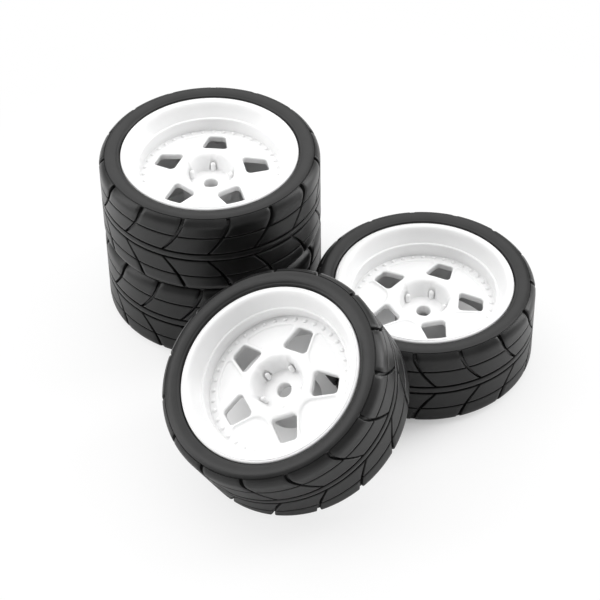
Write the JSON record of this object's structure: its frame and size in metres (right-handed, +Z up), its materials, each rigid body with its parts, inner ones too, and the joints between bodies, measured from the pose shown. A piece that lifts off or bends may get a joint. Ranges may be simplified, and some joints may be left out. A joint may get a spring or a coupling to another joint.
{
  "type": "rc drift car wheel set",
  "caption": "Set of model car wheels: white dished rims with windows, in black rubber tyres with a V tread, stacked, lying and leaning on each other",
  "frame": {"origin": "on the floor, below the middle of the whole set's outer box", "axes": "+Z up, square to the flat wheels' faces; +Y away from the viewer, from the leaning wheel towards the stack; +X to the right"},
  "size_m": [0.1268, 0.1392, 0.0543],
  "materials": {
    "rim_white": "semi-gloss moulded white plastic",
    "tyre_black": "matt black rubber",
    "insert_foam": "dark open-cell foam"
  },
  "bodies": {
    "stack_bottom": {"stack_bottom_rim": "rim_white", "stack_bottom_tyre": "tyre_black", "stack_bottom_insert": "insert_foam"},
    "stack_top": {"stack_top_rim": "rim_white", "stack_top_tyre": "tyre_black", "stack_top_insert": "insert_foam"},
    "side": {"side_rim": "rim_white", "side_tyre": "tyre_black", "side_insert": "insert_foam"},
    "leaning": {"leaning_rim": "rim_white", "leaning_tyre": "tyre_black", "leaning_insert": "insert_foam"}
  },
  "joints": [
    {"name": "stack_top_lift", "type": "slide", "parent": "stack_bottom", "child": "stack_top", "axis": [0, 0, 1], "range_m": [0, 0.04]},
    {"name": "side_slide", "type": "slide", "parent": "stack_bottom", "child": "side", "axis": [1, 0, 0], "range_m": [0, 0.04]},
    {"name": "leaning_lift", "type": "slide", "parent": "side", "child": "leaning", "axis": [-0.346, -0.333, 0.8771], "range_m": [0, 0.04]}
  ]
}
